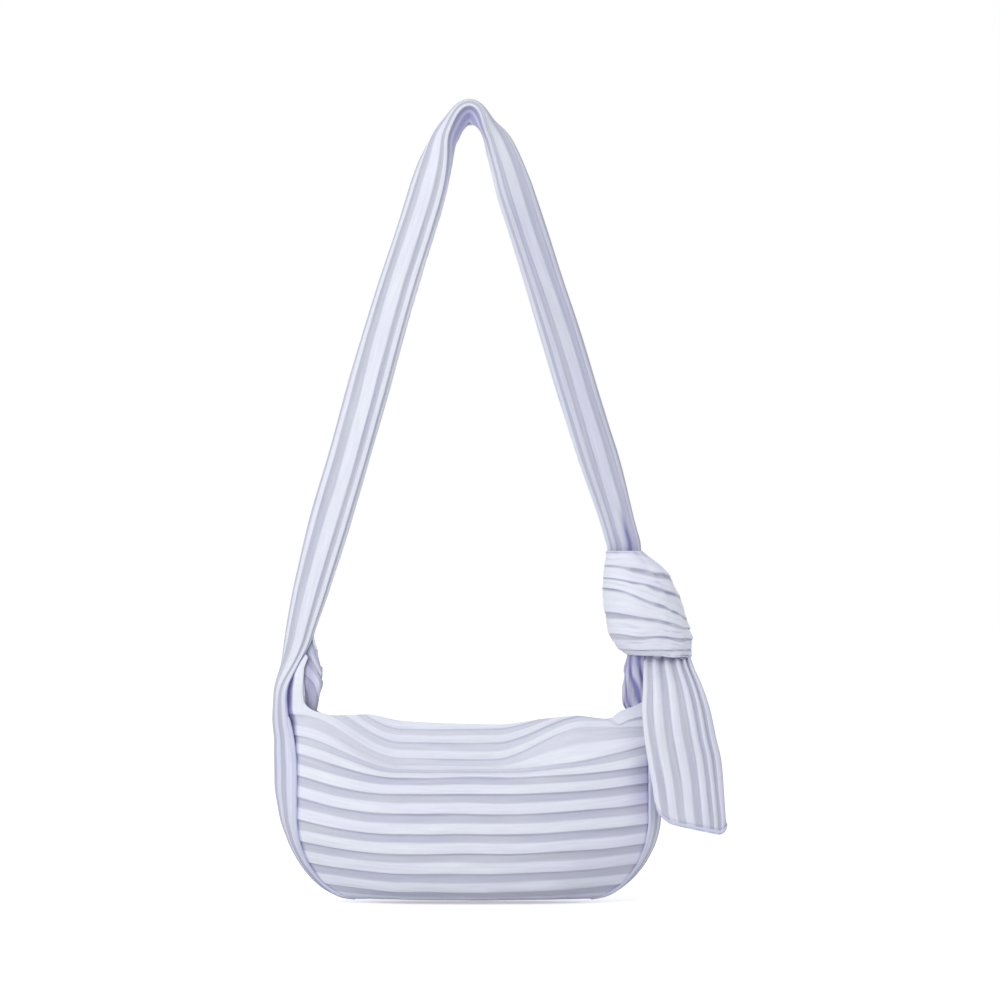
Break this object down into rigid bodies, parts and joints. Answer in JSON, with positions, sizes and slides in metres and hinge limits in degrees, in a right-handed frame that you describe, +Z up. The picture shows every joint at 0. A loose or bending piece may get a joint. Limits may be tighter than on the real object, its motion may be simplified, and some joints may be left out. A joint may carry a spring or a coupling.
{
  "type": "knotted shoulder bag",
  "caption": "Small soft shoulder bag in striped pleated cloth, open at the top, with a long strap tied to a short side tie in a knot and a free tail below it.",
  "frame": {"origin": "hang point under the strap's arch, where a hook or a shoulder carries the bag", "axes": "+X to the right seen from the front, +Z up, the front faces -Y"},
  "size_m": [0.3032, 0.0736, 0.5396],
  "materials": {
    "striped_cloth": "soft satin pleated weave, white and lilac grey stripes",
    "seam_cloth": "the same cloth folded tight along a seam",
    "lining_cloth": "thin matt lining"
  },
  "bodies": {
    "strap_loop": {"long_strap": "striped_cloth", "knot_band": "striped_cloth", "knot_core": "seam_cloth"},
    "bag": {"front_panel": "striped_cloth", "back_panel": "striped_cloth", "left_gusset": "striped_cloth", "right_gusset": "striped_cloth", "front_left_welt": "seam_cloth", "front_right_welt": "seam_cloth", "back_left_welt": "seam_cloth", "back_right_welt": "seam_cloth", "front_facing": "striped_cloth", "back_facing": "striped_cloth", "front_lining": "lining_cloth", "back_lining": "lining_cloth", "tail_root": "striped_cloth"},
    "tail": {"tail": "striped_cloth", "tail_hem": "seam_cloth"}
  },
  "joints": [
    {"name": "bag_swing", "type": "hinge", "parent": "strap_loop", "child": "bag", "pos_m": [0, 0, -0.366], "axis": [1, 0, 0], "range_deg": [-60, 60]},
    {"name": "tail_lift", "type": "hinge", "parent": "bag", "child": "tail", "pos_m": [0.137, -0.027, -0.394], "axis": [-1, 0, 0], "range_deg": [0, 90]}
  ]
}
